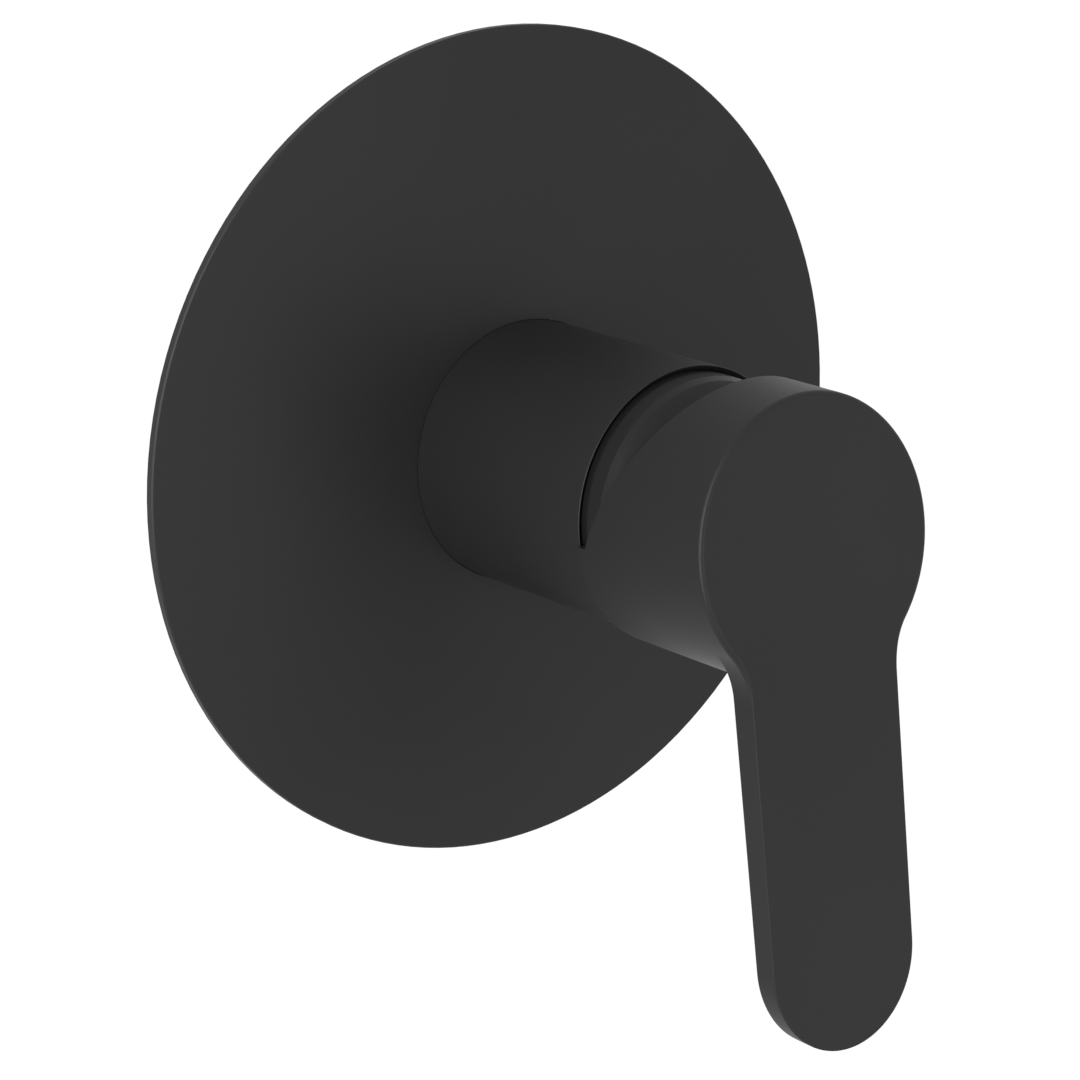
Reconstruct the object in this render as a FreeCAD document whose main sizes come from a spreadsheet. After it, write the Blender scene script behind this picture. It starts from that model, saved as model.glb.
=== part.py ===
import FreeCAD, Part
import math
import os
import Sketcher

# Concealed single lever shower mixer, all lengths in millimetres and angles in degrees.
# Every body is drawn in the mixer's own frame: x across, y up and z out from the wall,
# and its Placement then turns that frame so that the wall plane is the plane y = 0.

doc = FreeCAD.newDocument("ShowerMixer")

sizes = {
    # round plate on the wall
    "plate_radius": 80.0,
    "plate_rise": 6.5,
    "plate_edge": 1.7,
    "plate_rim_bevel": 0.8,
    "plate_edge_bevel": 0.25,
    "plate_rim_wall": 1.5,
    "plate_wall": 1.3,
    "plate_bore_gap": 0.12,
    "hub_wall": 4.2,
    "hub_back": 1.5,
    "seal_groove_depth": 1.9,
    "seal_groove_width": 2.6,
    "seal_groove_back": 2.7,
    "gasket_margin": 2.2,
    "gasket_width": 8.3,
    "gasket_depth": 0.9,
    "ring_play": 0.02,
    # sleeve and cover ring
    "sleeve_room": 2.2,
    "sleeve_wall": 1.0,
    "mouth_reach": 4.6,
    "sleeve_lip": 0.2,
    "sleeve_lip_depth": 0.8,
    "mouth_bevel": 0.1,
    "cover_gap": 0.1,
    "cover_grip": 4.0,
    "cover_wall": 1.4,
    "neck_sink": 1.1,
    "skirt_inset": 1.25,
    "skirt_rise": 4.1,
    "dome_bulge": 10.15,
    "dome_drop": 23.5,
    "dome_shoulder": 0.65,
    "dome_opening": 12.5,
    # lever
    "head_step": 1.1,
    "head_wall": 1.1,
    "head_gap": 0.6,
    "ceiling_reach": 30.0,
    "crown_wall": 7.1,
    "face_tilt": 7.4,
    "wedge_start": 3.7,
    "wedge_step": 2.2,
    "wedge_rise": 14.3,
    "blade_thickness": 5.6,
    "blade_thinning": 0.6,
    "blade_cut_room": 16.0,
    "overcut": 2.0,
    "neck_half_width": 16.9,
    "neck_round": 14.0,
    "tip_radius": 16.5,
    "tip_centre": 73.8,
    "face_round": 0.9,
    "blade_round": 0.2,
    "back_round": 0.5,
    "boss_radius": 8.5,
    "boss_drop": 4.2,
    "boss_reach": 20.0,
    "rib_half_width": 5.0,
    "grub_reach": 24.0,
    "grub_radius": 3.0,
    "grub_length": 9.0,
    "grub_gap": 0.05,
    "grub_point": 1.2,
    "grub_seat": 1.5,
    "key_across": 3.0,
    "key_depth": 3.0,
    "plug_depth": 3.0,
    "plug_sink": 0.4,
    "index_plug_round": 0.3,
    # stem and its pivot
    "pivot_reach": 7.0,
    "lift_range": 22.0,
    "stem_bevel": 0.8,
    "stem_half_width": 4.0,
    "stem_front": 27.0,
    "stem_back": 3.0,
    "stem_arm": 11.0,
    "arm_radius": 1.8,
    "arm_root": 1.0,
    "ball_radius": 2.4,
    "ball_room": 0.6,
    "socket_gap": 0.1,
    "swing_gap": 0.3,
    "pin_radius": 1.5,
    "pin_gap": 0.08,
    "pin_inset": 1.0,
    # cartridge
    "floor_distance": 16.5,
    "cartridge_radius": 17.3,
    "cartridge_gap": 0.3,
    "base_flange": 3.5,
    "base_depth": 11.5,
    "base_gap": 0.1,
    "housing_wall": 1.1,
    "shoulder_wall": 1.0,
    "neck_wall": 2.05,
    "neck_reach": 12.0,
    "driver_radius": 10.85,
    "driver_gap": 0.1,
    "driver_rise": 3.0,
    "driver_flange_depth": 3.9,
    "slot_room": 2.0,
    "fixed_disc_depth": 4.0,
    "moving_disc_depth": 3.0,
    "disc_play": 0.5,
    "pocket_radius": 8.2,
    "pocket_rise": 1.5,
    "pocket_depth": 1.5,
    "disc_offset": 2.1,
    "carrier_depth": 4.4,
    "carrier_play": 0.4,
    "carrier_boss_radius": 4.8,
    "carrier_boss_rise": 4.4,
    "inlet_port_x": 8.0,
    "inlet_port_drop": 4.5,
    "inlet_port_radius": 2.6,
    "outlet_port_rise": 9.0,
    "outlet_port_radius": 3.4,
    "port_seal_width": 1.5,
    "locator_radius": 1.5,
    "locator_x": 5.5,
    "locator_inset": 4.3,
    "locator_depth": 3.0,
    "locator_gap": 0.1,
    "locator_end_gap": 0.5,
    "driver_ring_reach": 2.6,
    "driver_ring_groove": 1.3,
    "groove_side_play": 0.35,
    # retaining nut
    "nut_seat_width": 2.4,
    "nut_seat_room": 4.0,
    "nut_length": 5.0,
    "nut_gap": 0.1,
    "nut_thread_play": 0.6,
    "nut_bore_gap": 0.3,
    "nut_flat_cut": 5.8,
    "nut_head": 5.0,
    # valve body in the wall
    "barrel_wall": 1.9,
    "barrel_back": 4.0,
    "body_step": 1.9,
    "body_back_wall": 1.0,
    "ring_groove_depth": 1.2,
    "ring_groove_width": 4.0,
    "ring_front_inset": 12.0,
    "ring_back": 12.0,
    "port_level": 24.0,
    "port_wall": 4.6,
    "boss_bevel": 0.8,
    "inlet_boss_length": 15.0,
    "outlet_boss_length": 18.0,
    "thread_radius": 9.4,
    "thread_depth": 15.0,
    "inlet_bore": 4.6,
    "inlet_bore_wall": 1.6,
    "mixed_bore": 4.2,
    # fixing plate behind the body
    "fixing_half_width": 30.0,
    "fixing_half_height": 25.0,
    "fixing_depth": 3.0,
    "fixing_hole_inset": 6.0,
    "fixing_hole_radius": 2.75,
    "fixing_corner": 6.0,
    "screw_x": 12.0,
    "screw_radius": 2.0,
    "screw_length": 10.0,
    "screw_tip_room": 0.7,
    "screw_head_radius": 4.0,
    "screw_key_across": 2.5,
    "screw_key_depth": 0.9,
    "screw_hole_gap": 0.25,
    "screw_thread_gap": 0.05,
    # blanking plug in the lower outlet
    "plug_hexagon": 17.0,
    "blank_flange_width": 3.1,
    "blank_flange_depth": 3.0,
    "blank_head_depth": 6.0,
    "blank_thread_length": 10.0,
    "thread_gap": 0.1,
    "plug_mouth_gap": 0.3,
    "washer_depth": 1.5,
}

# Places and radii that follow from the sizes, from the cartridge outwards and from the wall forwards
follows = {
    "gasket_outer_radius": "plate_radius - plate_rim_wall - gasket_margin",
    # cartridge
    "moving_disc_radius": "cartridge_radius - housing_wall - disc_offset - disc_play",
    "locator_drop": "cartridge_radius - locator_inset",
    "neck_radius": "driver_radius + driver_gap + neck_wall",
    "base_front": "floor_distance + base_depth",
    "disc_front": "base_front + fixed_disc_depth + moving_disc_depth",
    "carrier_boss_front": "disc_front + carrier_depth + carrier_boss_rise",
    "driver_flange": "disc_front + carrier_depth + carrier_play",
    "shoulder_front": "driver_flange + driver_flange_depth + swing_gap + shoulder_wall",
    "driver_ring_distance": "shoulder_front + driver_ring_reach",
    "driver_slot": "stem_half_width + slot_room",
    "neck_front": "shoulder_front + neck_reach",
    "driver_front": "neck_front + driver_rise",
    "pivot_distance": "shoulder_front + pivot_reach",
    # nut and valve body
    "nut_bore": "cartridge_radius + cartridge_gap + nut_seat_width",
    "nut_radius": "nut_bore - nut_gap",
    "nut_hexagon": "2*nut_radius - nut_flat_cut",
    "nut_seat": "shoulder_front - nut_seat_room",
    "barrel_front": "shoulder_front + nut_length",
    "barrel_radius": "nut_bore + barrel_wall",
    "body_radius": "barrel_radius - body_step",
    "ring_front": "barrel_front - ring_front_inset",
    "port_boss_radius": "thread_radius + port_wall",
    "body_back": "port_level + port_boss_radius + body_back_wall",
    "inlet_reach": "body_radius + inlet_boss_length",
    "outlet_reach": "body_radius + outlet_boss_length",
    "inlet_bore_end": "mixed_bore + inlet_bore_wall",
    "blank_flange_radius": "thread_radius + blank_flange_width",
    "fixing_hole_x": "fixing_half_width - fixing_hole_inset",
    "fixing_hole_y": "fixing_half_height - fixing_hole_inset",
    # sleeve, cover ring and lever
    "sleeve_radius": "barrel_radius + sleeve_room + sleeve_wall",
    "sleeve_front": "barrel_front + mouth_reach",
    "cover_back": "barrel_front - cover_grip",
    "skirt_radius": "sleeve_radius - skirt_inset",
    "skirt_front": "sleeve_front + skirt_rise",
    "dome_radius": "skirt_radius + dome_bulge",
    "dome_centre": "skirt_front - dome_drop",
    "head_radius": "sleeve_radius + head_step",
    "head_ceiling": "pivot_distance + ceiling_reach",
    "face_distance": "head_ceiling + crown_wall",
    "boss_back": "pivot_distance + boss_reach",
    "grub_distance": "pivot_distance + grub_reach",
    "grub_tip": "boss_drop + stem_half_width + grub_seat",
}

sheet = doc.addObject("Spreadsheet::Sheet", "Sizes")
for row, (alias, value) in enumerate(sizes.items(), start=1):
    sheet.set("A%d" % row, alias)
    sheet.set("B%d" % row, str(value))
    sheet.setAlias("B%d" % row, alias)
doc.recompute()


# A length is written as a sum of names and plain numbers, such as "sleeve_radius - 2*sleeve_wall".
def amount(text):
    total = 0.0
    sign = 1.0
    for word in text.split():
        if word in "+-":
            sign = 1.0 if word == "+" else -1.0
            continue
        product = sign
        for factor in word.split("*"):
            if factor in follows:
                product *= amount(follows[factor])
            else:
                product *= sizes[factor] if factor in sizes else float(factor)
        total += product
        sign = 1.0
    return total


def linked(text):
    words = []
    for word in text.split():
        factors = []
        for factor in word.split("*"):
            if factor in follows:
                factor = "(" + linked(follows[factor]) + ")"
            elif factor in sizes:
                factor = "Sizes." + factor
            factors.append(factor)
        words.append(" * ".join(factors))
    if words[0] in "+-":
        words.insert(0, "0")
    return " ".join(words)


def bind(thing, path, text):
    thing.setExpression(path, linked(text))


# Bodies and their sketches

def new_body(label):
    body = doc.addObject("PartDesign::Body", label)
    body.Label = label
    body.Placement = FreeCAD.Placement(FreeCAD.Vector(0, 0, 0), FreeCAD.Rotation(FreeCAD.Vector(1, 0, 0), 90))
    return body


# The sketch lies on a base plane, moved out by offset, up by rise and across by shift, and turned
# about its own horizontal axis by tilt or about its normal by spin.
def new_sketch(body, name, role, offset="0", rise="0", shift="0", tilt="0", spin="0"):
    sketch = body.newObject("Sketcher::SketchObject", body.Name + "_" + name)
    plane = [item for item in body.Origin.OriginFeatures if item.Role == role][0]
    sketch.AttachmentSupport = [(plane, "")]
    sketch.MapMode = "FlatFace"
    axis = FreeCAD.Vector(1, 0, 0) if spin == "0" else FreeCAD.Vector(0, 0, 1)
    angle = tilt if spin == "0" else spin
    place = FreeCAD.Vector(amount(shift), amount(rise), amount(offset))
    sketch.AttachmentOffset = FreeCAD.Placement(place, FreeCAD.Rotation(axis, amount(angle)))
    for path, text in (("Base.x", shift), ("Base.y", rise), ("Base.z", offset), ("Rotation.Angle", angle)):
        if text != "0":
            bind(sketch, "AttachmentOffset." + path, text)
    return sketch


def hold(sketch, kind, items, text):
    index = sketch.addConstraint(Sketcher.Constraint(kind, *items, amount(text)))
    bind(sketch, "Constraints[%d]" % index, text)


def hold_point(sketch, item, end, across, along):
    if across == "0":
        sketch.addConstraint(Sketcher.Constraint("PointOnObject", item, end, -2))
    else:
        hold(sketch, "DistanceX", (-1, 1, item, end), across)
    if along == "0":
        sketch.addConstraint(Sketcher.Constraint("PointOnObject", item, end, -1))
    else:
        hold(sketch, "DistanceY", (-1, 1, item, end), along)


def draw_circle(sketch, radius, across="0", along="0"):
    centre = FreeCAD.Vector(amount(across), amount(along), 0)
    item = sketch.addGeometry(Part.Circle(centre, FreeCAD.Vector(0, 0, 1), amount(radius)), False)
    hold_point(sketch, item, 3, across, along)
    hold(sketch, "Radius", (item,), radius)


# The corners are joined by lines in turn. A corner of three texts starts an arc about the vertical
# axis (its place across, the arc's centre and its radius) and the next corner, of one text, ends it.
def draw_profile(sketch, corners):
    spots = []
    arc = None
    for corner in corners:
        across = amount(corner[0])
        if len(corner) == 2:
            spots.append(FreeCAD.Vector(across, amount(corner[1]), 0))
            continue
        arc = corner if len(corner) == 3 else arc
        rise = math.sqrt(amount(arc[2]) ** 2 - across ** 2)
        spots.append(FreeCAD.Vector(across, amount(arc[1]) + rise, 0))
    count = len(corners)
    items = []
    for index, corner in enumerate(corners):
        start = spots[index]
        stop = spots[(index + 1) % count]
        if len(corner) != 3:
            items.append((sketch.addGeometry(Part.LineSegment(start, stop), False), 1, 2))
            continue
        centre = FreeCAD.Vector(0, amount(corner[1]), 0)
        first = math.atan2(start.y - centre.y, start.x)
        last = math.atan2(stop.y - centre.y, stop.x)
        circle = Part.Circle(centre, FreeCAD.Vector(0, 0, 1), amount(corner[2]))
        item = sketch.addGeometry(Part.ArcOfCircle(circle, min(first, last), max(first, last)), False)
        items.append((item, 1, 2) if first < last else (item, 2, 1))
    for index in range(count):
        item, begin, end = items[index]
        following = items[(index + 1) % count]
        sketch.addConstraint(Sketcher.Constraint("Coincident", item, end, following[0], following[1]))
    for index, corner in enumerate(corners):
        item, begin, end = items[index]
        if len(corner) == 2:
            hold_point(sketch, item, begin, corner[0], corner[1])
            continue
        hold(sketch, "DistanceX", (-1, 1, item, begin), corner[0])
        if len(corner) == 3:
            hold_point(sketch, item, 3, "0", corner[1])
            hold(sketch, "Radius", (item,), corner[2])


def draw_box(sketch, left, right, low, high):
    draw_profile(sketch, [(left, low), (right, low), (right, high), (left, high)])


def draw_hexagon(sketch, across):
    radius = amount(across) / math.sqrt(3.0)
    spots = [FreeCAD.Vector(radius * math.cos(turn * math.pi / 3), radius * math.sin(turn * math.pi / 3), 0)
             for turn in range(6)]
    for turn in range(6):
        sketch.addGeometry(Part.LineSegment(spots[turn], spots[(turn + 1) % 6]), False)
    guide = sketch.addGeometry(Part.Circle(FreeCAD.Vector(0, 0, 0), FreeCAD.Vector(0, 0, 1), radius), True)
    for turn in range(6):
        sketch.addConstraint(Sketcher.Constraint("Coincident", turn, 2, (turn + 1) % 6, 1))
        sketch.addConstraint(Sketcher.Constraint("PointOnObject", turn, 1, guide))
    for turn in range(5):
        sketch.addConstraint(Sketcher.Constraint("Equal", turn, turn + 1))
    sketch.addConstraint(Sketcher.Constraint("Coincident", guide, 3, -1, 1))
    sketch.addConstraint(Sketcher.Constraint("PointOnObject", 0, 1, -1))
    index = sketch.addConstraint(Sketcher.Constraint("Radius", guide, radius))
    sketch.setExpression("Constraints[%d]" % index, "(%s) / sqrt(3)" % linked(across))


# Features

def revolve(body, sketch):
    feature = body.newObject("PartDesign::Revolution", sketch.Name + "_turned")
    feature.Profile = sketch
    feature.ReferenceAxis = (sketch, ["V_Axis"])
    feature.Angle = 360.0
    sketch.Visibility = False
    return feature


def pad(body, sketch, length, both_ways=False, backward=False):
    feature = body.newObject("PartDesign::Pad", sketch.Name + "_pad")
    feature.Profile = sketch
    feature.Midplane = both_ways
    feature.Reversed = backward
    bind(feature, "Length", length)
    sketch.Visibility = False
    return feature


# A pocket goes against its sketch's normal unless it is asked to go along it.
def pocket(body, sketch, length, both_ways=False, along_normal=False):
    feature = body.newObject("PartDesign::Pocket", sketch.Name + "_cut")
    feature.Profile = sketch
    feature.Midplane = both_ways
    feature.Reversed = along_normal
    bind(feature, "Length", length)
    sketch.Visibility = False
    return feature


def edges_where(feature, wanted):
    names = []
    for index, edge in enumerate(feature.Shape.Edges, start=1):
        middle = edge.valueAt((edge.FirstParameter + edge.LastParameter) / 2)
        ends = [vertex.Point for vertex in edge.Vertexes]
        if all(wanted(spot) for spot in ends + [middle]):
            names.append("Edge%d" % index)
    return names


def work_edges(kind, body, feature, wanted, name):
    doc.recompute()
    names = edges_where(feature, wanted)
    if not names:
        raise RuntimeError("no edges to work on " + body.Label + " " + name)
    worked = body.newObject(kind, body.Name + "_" + name)
    worked.Base = (feature, names)
    worked.Refine = False
    return worked


def round_edges(body, feature, radius, wanted, name):
    fillet = work_edges("PartDesign::Fillet", body, feature, wanted, name)
    bind(fillet, "Radius", radius)
    return fillet


def bevel_edges(body, feature, size, wanted, name):
    chamfer = work_edges("PartDesign::Chamfer", body, feature, wanted, name)
    bind(chamfer, "Size", size)
    return chamfer


# A ring seal about the mixer's axis
def new_ring(label, centre_radius, cord_radius, distance, across="0", up="0"):
    ring = doc.addObject("Part::Torus", label)
    ring.Label = label
    ring.Placement = FreeCAD.Placement(FreeCAD.Vector(0, 0, 0), FreeCAD.Rotation(FreeCAD.Vector(1, 0, 0), 90))
    bind(ring, "Radius1", centre_radius)
    bind(ring, "Radius2", cord_radius)
    bind(ring, "Placement.Base.x", across)
    ring.setExpression("Placement.Base.y", "-1 * (%s)" % linked(distance))
    bind(ring, "Placement.Base.z", up)
    return ring


def gather(label, members):
    group = doc.addObject("Part::Compound", label)
    group.Label = label
    group.Links = members
    return group


# Face plate: a thin turned dish with a hub that carries the seal on the sleeve

def make_face_plate():
    body = new_body("face_plate")
    bore = "sleeve_radius + plate_bore_gap"
    hub = bore + " + hub_wall"
    groove = bore + " + seal_groove_depth"
    groove_front = "seal_groove_back + seal_groove_width"
    sketch = new_sketch(body, "profile", "XZ_Plane")
    draw_profile(sketch, [
        ("plate_radius", "0"),
        ("plate_radius", "plate_edge"),
        (bore, "plate_rise"),
        (bore, groove_front),
        (groove, groove_front),
        (groove, "seal_groove_back"),
        (bore, "seal_groove_back"),
        (bore, "hub_back"),
        (hub, "hub_back"),
        (hub, "plate_rise - plate_wall"),
        ("plate_radius - plate_rim_wall", "plate_edge - plate_rim_bevel"),
        ("plate_radius - plate_rim_wall", "0"),
    ])
    feature = revolve(body, sketch)
    bevel_edges(body, feature, "plate_edge_bevel", lambda spot: abs(spot.z - sizes["plate_edge"]) < 0.01
                and math.hypot(spot.x, spot.y) > sizes["plate_radius"] - 0.01, "edge")
    return body


def make_plate_gasket():
    body = new_body("plate_gasket")
    sketch = new_sketch(body, "ring", "XY_Plane")
    draw_circle(sketch, "gasket_outer_radius")
    draw_circle(sketch, "gasket_outer_radius - gasket_width")
    pad(body, sketch, "gasket_depth")
    return body


def make_plate_seal():
    cord = "0.5*plate_bore_gap + 0.5*seal_groove_depth - ring_play"
    middle = "sleeve_radius + 0.5*plate_bore_gap + 0.5*seal_groove_depth"
    return new_ring("plate_seal", middle, cord, "seal_groove_back + 0.5*seal_groove_width")


# Sleeve and cover ring

def make_sleeve():
    body = new_body("sleeve")
    inner = "sleeve_radius - sleeve_wall"
    sketch = new_sketch(body, "profile", "XZ_Plane")
    draw_profile(sketch, [
        (inner, "hub_back"),
        ("sleeve_radius", "hub_back"),
        ("sleeve_radius", "sleeve_front"),
        ("sleeve_radius - sleeve_lip", "sleeve_front"),
        (inner, "sleeve_front - sleeve_lip_depth"),
    ])
    feature = revolve(body, sketch)
    bevel_edges(body, feature, "mouth_bevel", lambda spot: abs(spot.z - amount("sleeve_front")) < 0.01
                and math.hypot(spot.x, spot.y) > amount("sleeve_radius") - 0.01, "mouth")
    return body


def make_cover_ring():
    body = new_body("cover_ring")
    outer = "sleeve_radius - sleeve_wall - cover_gap"
    inner = outer + " - cover_wall"
    seat = "nut_bore + nut_thread_play"
    sunk = "sleeve_front - neck_sink"
    neck_inner = "skirt_radius - cover_wall"
    sketch = new_sketch(body, "profile", "XZ_Plane")
    draw_profile(sketch, [
        (inner, "cover_back"),
        (outer, "cover_back"),
        (outer, sunk),
        ("skirt_radius", "skirt_front"),
        ("skirt_radius - dome_shoulder", "dome_centre", "dome_radius"),
        ("dome_opening",),
        ("dome_opening", "dome_centre", "dome_radius - cover_wall"),
        (neck_inner,),
        (neck_inner, "barrel_front + overcut"),
        (seat, "barrel_front + overcut"),
        (seat, "barrel_front"),
        (inner, "barrel_front"),
    ])
    revolve(body, sketch)
    return body


# Lever: one casting with a hollow head, a socket for the stem and a thin blade

# The outline's sketch is spun a quarter turn: its horizontal axis points up the lever.
def draw_blade_outline(sketch):
    head = amount("head_radius")
    curve = amount("neck_round")
    tip = amount("tip_radius")
    drop = amount("tip_centre")
    across = amount("neck_half_width") + curve
    down = math.sqrt((head + curve) ** 2 - across ** 2)
    meet = math.atan2(down, across)
    reach = math.hypot(drop - down, across)
    lean = math.asin((curve + tip) / reach) - math.atan2(across, drop - down)
    quarter = math.pi / 2
    up = FreeCAD.Vector(0, 0, 1)
    low = FreeCAD.Vector(-drop, 0, 0)
    right = FreeCAD.Vector(-down, -across, 0)
    left = FreeCAD.Vector(-down, across, 0)
    to_right = FreeCAD.Vector(math.sin(lean), -math.cos(lean), 0)
    to_left = FreeCAD.Vector(math.sin(lean), math.cos(lean), 0)
    top = Part.Circle(FreeCAD.Vector(0, 0, 0), up, head)
    sketch.addGeometry(Part.ArcOfCircle(top, -meet - quarter, meet + quarter), False)
    sketch.addGeometry(Part.ArcOfCircle(Part.Circle(right, up, curve), quarter - meet, quarter + lean), False)
    sketch.addGeometry(Part.ArcOfCircle(Part.Circle(left, up, curve), -lean - quarter, meet - quarter), False)
    sketch.addGeometry(Part.LineSegment(right - to_right * curve, low + to_right * tip), False)
    sketch.addGeometry(Part.LineSegment(left - to_left * curve, low + to_left * tip), False)
    bottom = Part.Circle(low, up, tip)
    sketch.addGeometry(Part.ArcOfCircle(bottom, quarter - lean, 3 * quarter + lean), False)
    for ends in ((0, 1, 1, 1), (1, 2, 3, 1), (3, 2, 5, 2), (0, 2, 2, 2), (2, 1, 4, 1), (4, 2, 5, 1)):
        sketch.addConstraint(Sketcher.Constraint("Tangent", *ends))
    sketch.addConstraint(Sketcher.Constraint("Coincident", 0, 3, -1, 1))
    sketch.addConstraint(Sketcher.Constraint("PointOnObject", 5, 3, -1))
    hold(sketch, "Radius", (0,), "head_radius")
    hold(sketch, "Radius", (1,), "neck_round")
    hold(sketch, "Radius", (2,), "neck_round")
    hold(sketch, "Radius", (5,), "tip_radius")
    hold(sketch, "DistanceX", (5, 3, -1, 1), "tip_centre")
    hold(sketch, "DistanceY", (1, 3, -1, 1), "neck_half_width + neck_round")
    hold(sketch, "DistanceY", (-1, 1, 2, 3), "neck_half_width + neck_round")


def rim_round(spot):
    on_head = math.hypot(spot.x, spot.y) < amount("head_radius") + 0.5
    return sizes["face_round"] if on_head else sizes["blade_round"]


def make_lever_handle():
    body = new_body("lever_blank")
    rim = "sleeve_front + head_gap"
    sketch = new_sketch(body, "outline", "XY_Plane", offset="face_distance - blade_cut_room", spin="90")
    draw_blade_outline(sketch)
    pad(body, sketch, "2*blade_cut_room")
    sketch = new_sketch(body, "blade_back", "XY_Plane", offset="face_distance - blade_thickness",
                        tilt="- face_tilt - blade_thinning")
    draw_box(sketch, "- 2*head_radius", "2*head_radius", "- tip_centre - 2*tip_radius", "2*head_radius")
    pocket(body, sketch, "2*blade_cut_room")
    sketch = new_sketch(body, "barrel", "XY_Plane", offset=rim)
    draw_circle(sketch, "head_radius")
    pad(body, sketch, "face_distance - sleeve_front - head_gap + 3*overcut")
    sketch = new_sketch(body, "face", "XY_Plane", offset="face_distance", tilt="- face_tilt")
    draw_box(sketch, "- 2*head_radius", "2*head_radius", "- tip_centre - 2*tip_radius", "2*head_radius")
    feature = pocket(body, sketch, "2*blade_cut_room", along_normal=True)
    sketch = new_sketch(body, "hollow", "XY_Plane", offset=rim)
    draw_circle(sketch, "head_radius - head_wall")
    pocket(body, sketch, "head_ceiling - sleeve_front - head_gap", along_normal=True)
    sketch = new_sketch(body, "wedge", "YZ_Plane")
    draw_profile(sketch, [
        ("- wedge_start", rim + " - overcut"),
        ("- wedge_start", rim + " + wedge_step"),
        ("head_radius", rim + " + wedge_step + wedge_rise"),
        ("head_radius + overcut", rim + " + wedge_step + wedge_rise"),
        ("head_radius + overcut", rim + " - overcut"),
    ])
    pocket(body, sketch, "3*head_radius", both_ways=True)
    sketch = new_sketch(body, "boss", "XY_Plane", offset="boss_back")
    draw_circle(sketch, "boss_radius", "0", "- boss_drop")
    pad(body, sketch, "head_ceiling - boss_back + 0.5*overcut")
    sketch = new_sketch(body, "rib", "XY_Plane", offset="boss_back")
    draw_box(sketch, "- rib_half_width", "rib_half_width", "- head_radius + 0.5*head_wall", "- boss_drop")
    pad(body, sketch, "head_ceiling - boss_back + 0.5*overcut")
    sketch = new_sketch(body, "socket", "XY_Plane", offset="pivot_distance", tilt="0.5*lift_range")
    side = "stem_half_width + socket_gap"
    draw_box(sketch, "- stem_half_width - socket_gap", side, "- stem_half_width - socket_gap", side)
    pocket(body, sketch, "stem_front + 0.5*overcut", along_normal=True)
    sketch = new_sketch(body, "grub_hole", "XZ_Plane", offset="boss_drop")
    draw_circle(sketch, "grub_radius + grub_gap", "0", "grub_distance")
    pocket(body, sketch, "head_radius - boss_drop + overcut", along_normal=True)
    doc.recompute()

    # The face's rim and the outline of the blade's back are rounded last. The rim's round
    # runs out along the neck, from the head's to the blade's.
    tilt = math.radians(sizes["face_tilt"])
    thin = math.radians(sizes["face_tilt"] + sizes["blade_thinning"])
    back = amount("face_distance") - sizes["blade_thickness"]
    to_mixer = body.Placement.inverse()
    rounds = []
    for index, edge in enumerate(body.Shape.Edges, start=1):
        spot = to_mixer.multVec(edge.valueAt((edge.FirstParameter + edge.LastParameter) / 2))
        before_face = (spot.z - amount("face_distance")) * math.cos(tilt) + spot.y * math.sin(tilt)
        before_back = (spot.z - back) * math.cos(thin) + spot.y * math.sin(thin)
        if abs(before_face) < 0.01:
            ends = [to_mixer.multVec(edge.valueAt(end)) for end in (edge.FirstParameter, edge.LastParameter)]
            rounds.append((index, rim_round(ends[0]), rim_round(ends[1])))
        elif abs(before_back) < 0.01 and spot.y < -0.5 * amount("head_radius"):
            rounds.append((index, sizes["back_round"], sizes["back_round"]))
    lever = doc.addObject("Part::Fillet", "lever_handle")
    lever.Label = "lever_handle"
    lever.Base = body
    lever.Edges = rounds
    return lever


def make_grub_screw():
    body = new_body("grub_screw")
    tip = "- grub_tip"
    sketch = new_sketch(body, "profile", "XY_Plane", offset="grub_distance")
    draw_profile(sketch, [
        ("0", tip),
        ("0", tip + " - grub_length"),
        ("grub_radius", tip + " - grub_length"),
        ("grub_radius", tip + " - grub_point"),
        ("grub_radius - grub_point", tip),
    ])
    revolve(body, sketch)
    sketch = new_sketch(body, "key", "XZ_Plane", offset="grub_tip + grub_length - key_depth",
                        rise="grub_distance")
    draw_hexagon(sketch, "key_across")
    pocket(body, sketch, "key_depth + overcut", along_normal=True)
    return body


def make_index_plug():
    body = new_body("index_plug")
    sketch = new_sketch(body, "disc", "XZ_Plane", offset="head_radius - plug_sink - plug_depth")
    draw_circle(sketch, "grub_radius", "0", "grub_distance")
    feature = pad(body, sketch, "plug_depth")
    outer = sizes["plug_sink"] - amount("head_radius")
    round_edges(body, feature, "index_plug_round", lambda spot: spot.y < outer + 0.01, "rim")
    return body


# Stem: a square bar on a cross pin, with a ball at its inner end that pushes the disc carrier

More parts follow.
